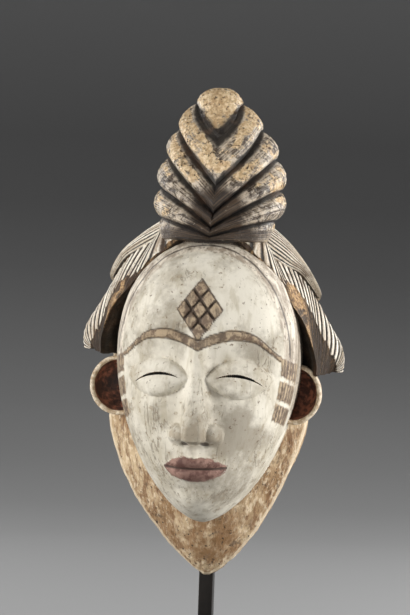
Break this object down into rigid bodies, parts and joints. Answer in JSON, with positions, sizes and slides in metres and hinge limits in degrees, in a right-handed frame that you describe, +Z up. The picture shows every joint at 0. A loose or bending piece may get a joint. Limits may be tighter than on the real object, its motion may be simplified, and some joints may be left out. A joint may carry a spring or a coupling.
{
  "type": "punu mask",
  "caption": "Carved wooden mask with a white face, ribbed topknot, side hair wings and a pointed collar, on a bar and plate stand.",
  "frame": {"origin": "centre of the stand plate's underside, where it rests on a surface", "axes": "+Z up, the mask faces -Y, +X to the viewer's right"},
  "size_m": [0.1786, 0.1479, 0.42],
  "materials": {
    "carved_wood": "light wood with a worn white clay face, dark stained hair and red-brown lips and ears",
    "stand_steel": "blackened steel, satin"
  },
  "bodies": {
    "root": {"mask": "carved_wood", "stand_post": "stand_steel", "stand_plate": "stand_steel"}
  },
  "joints": []
}
